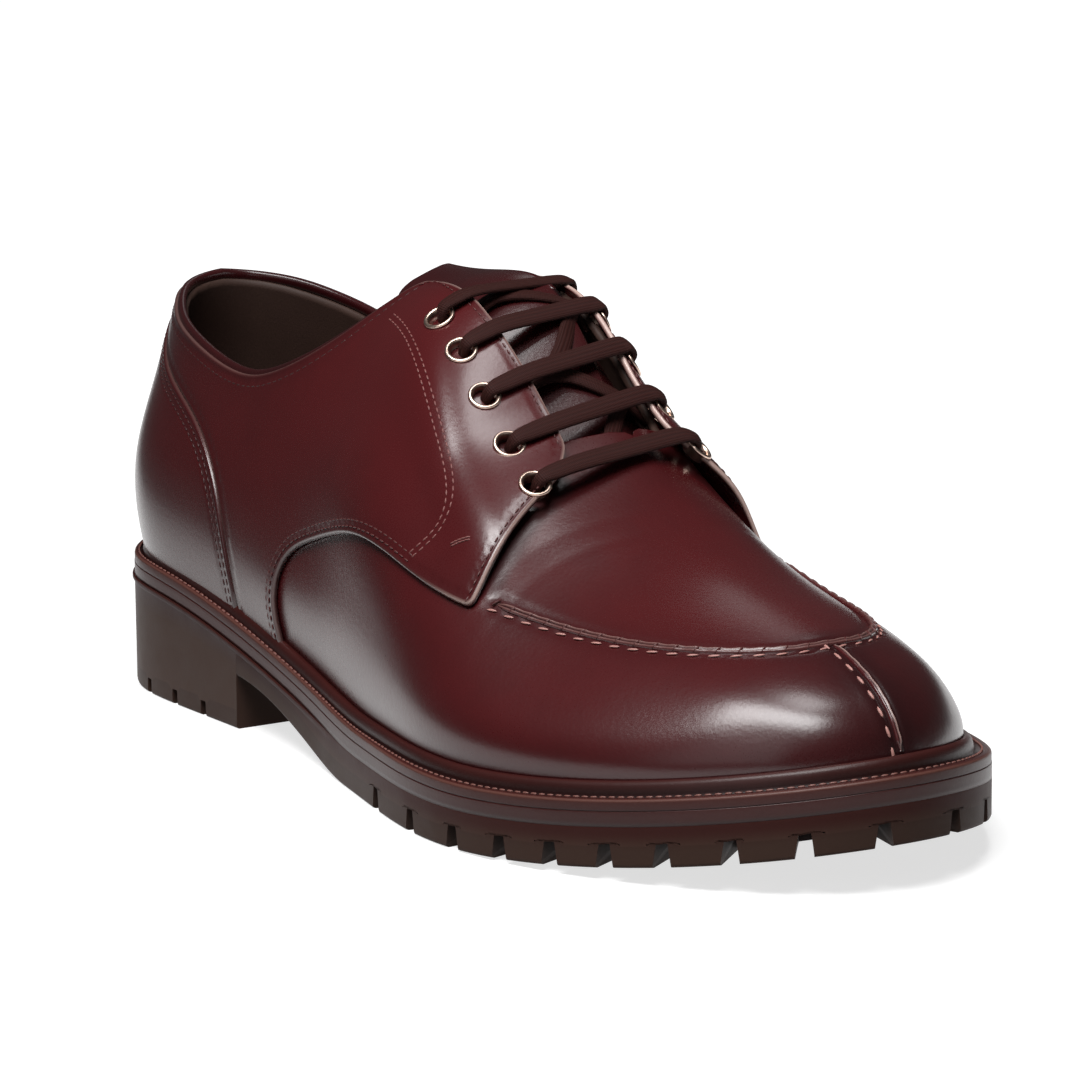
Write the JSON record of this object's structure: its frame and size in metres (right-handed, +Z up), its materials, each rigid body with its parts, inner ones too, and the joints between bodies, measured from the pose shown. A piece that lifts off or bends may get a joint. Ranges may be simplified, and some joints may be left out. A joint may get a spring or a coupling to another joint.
{
  "type": "lug sole derby shoe",
  "caption": "Apron-front derby shoe for the right foot: open-laced leather upper, storm welt and a lugged rubber sole with heel.",
  "frame": {"origin": "centre of the bounding box's floor, under the sole", "axes": "+X to the toe, +Y to the medial side of this right shoe, +Z up"},
  "size_m": [0.3062, 0.1252, 0.1208],
  "materials": {
    "upper_leather": "polished, finely grained burgundy leather, darker at toe and heel",
    "welt_leather": "reddish-brown stitched welt and midsole edge",
    "sole_rubber": "dark olive-brown satin moulded rubber",
    "lining": "dark brown matt lining leather",
    "eyelet_metal": "antique pale copper",
    "lace_cord": "dark brown flat waxed cord"
  },
  "bodies": {
    "root": {"outsole": "sole_rubber", "midsole": "welt_leather", "welt": "welt_leather", "insole": "lining", "upper": "upper_leather", "counter": "upper_leather", "tongue": "upper_leather", "quarter_lateral": "upper_leather", "quarter_medial": "upper_leather", "eyelet_lateral_1": "eyelet_metal", "eyelet_lateral_2": "eyelet_metal", "eyelet_lateral_3": "eyelet_metal", "eyelet_lateral_4": "eyelet_metal", "eyelet_lateral_5": "eyelet_metal", "eyelet_medial_1": "eyelet_metal", "eyelet_medial_2": "eyelet_metal", "eyelet_medial_3": "eyelet_metal", "eyelet_medial_4": "eyelet_metal", "eyelet_medial_5": "eyelet_metal", "lace_bar_1": "lace_cord", "lace_bar_2": "lace_cord", "lace_bar_3": "lace_cord", "lace_bar_4": "lace_cord", "lace_bar_5": "lace_cord"}
  },
  "joints": []
}
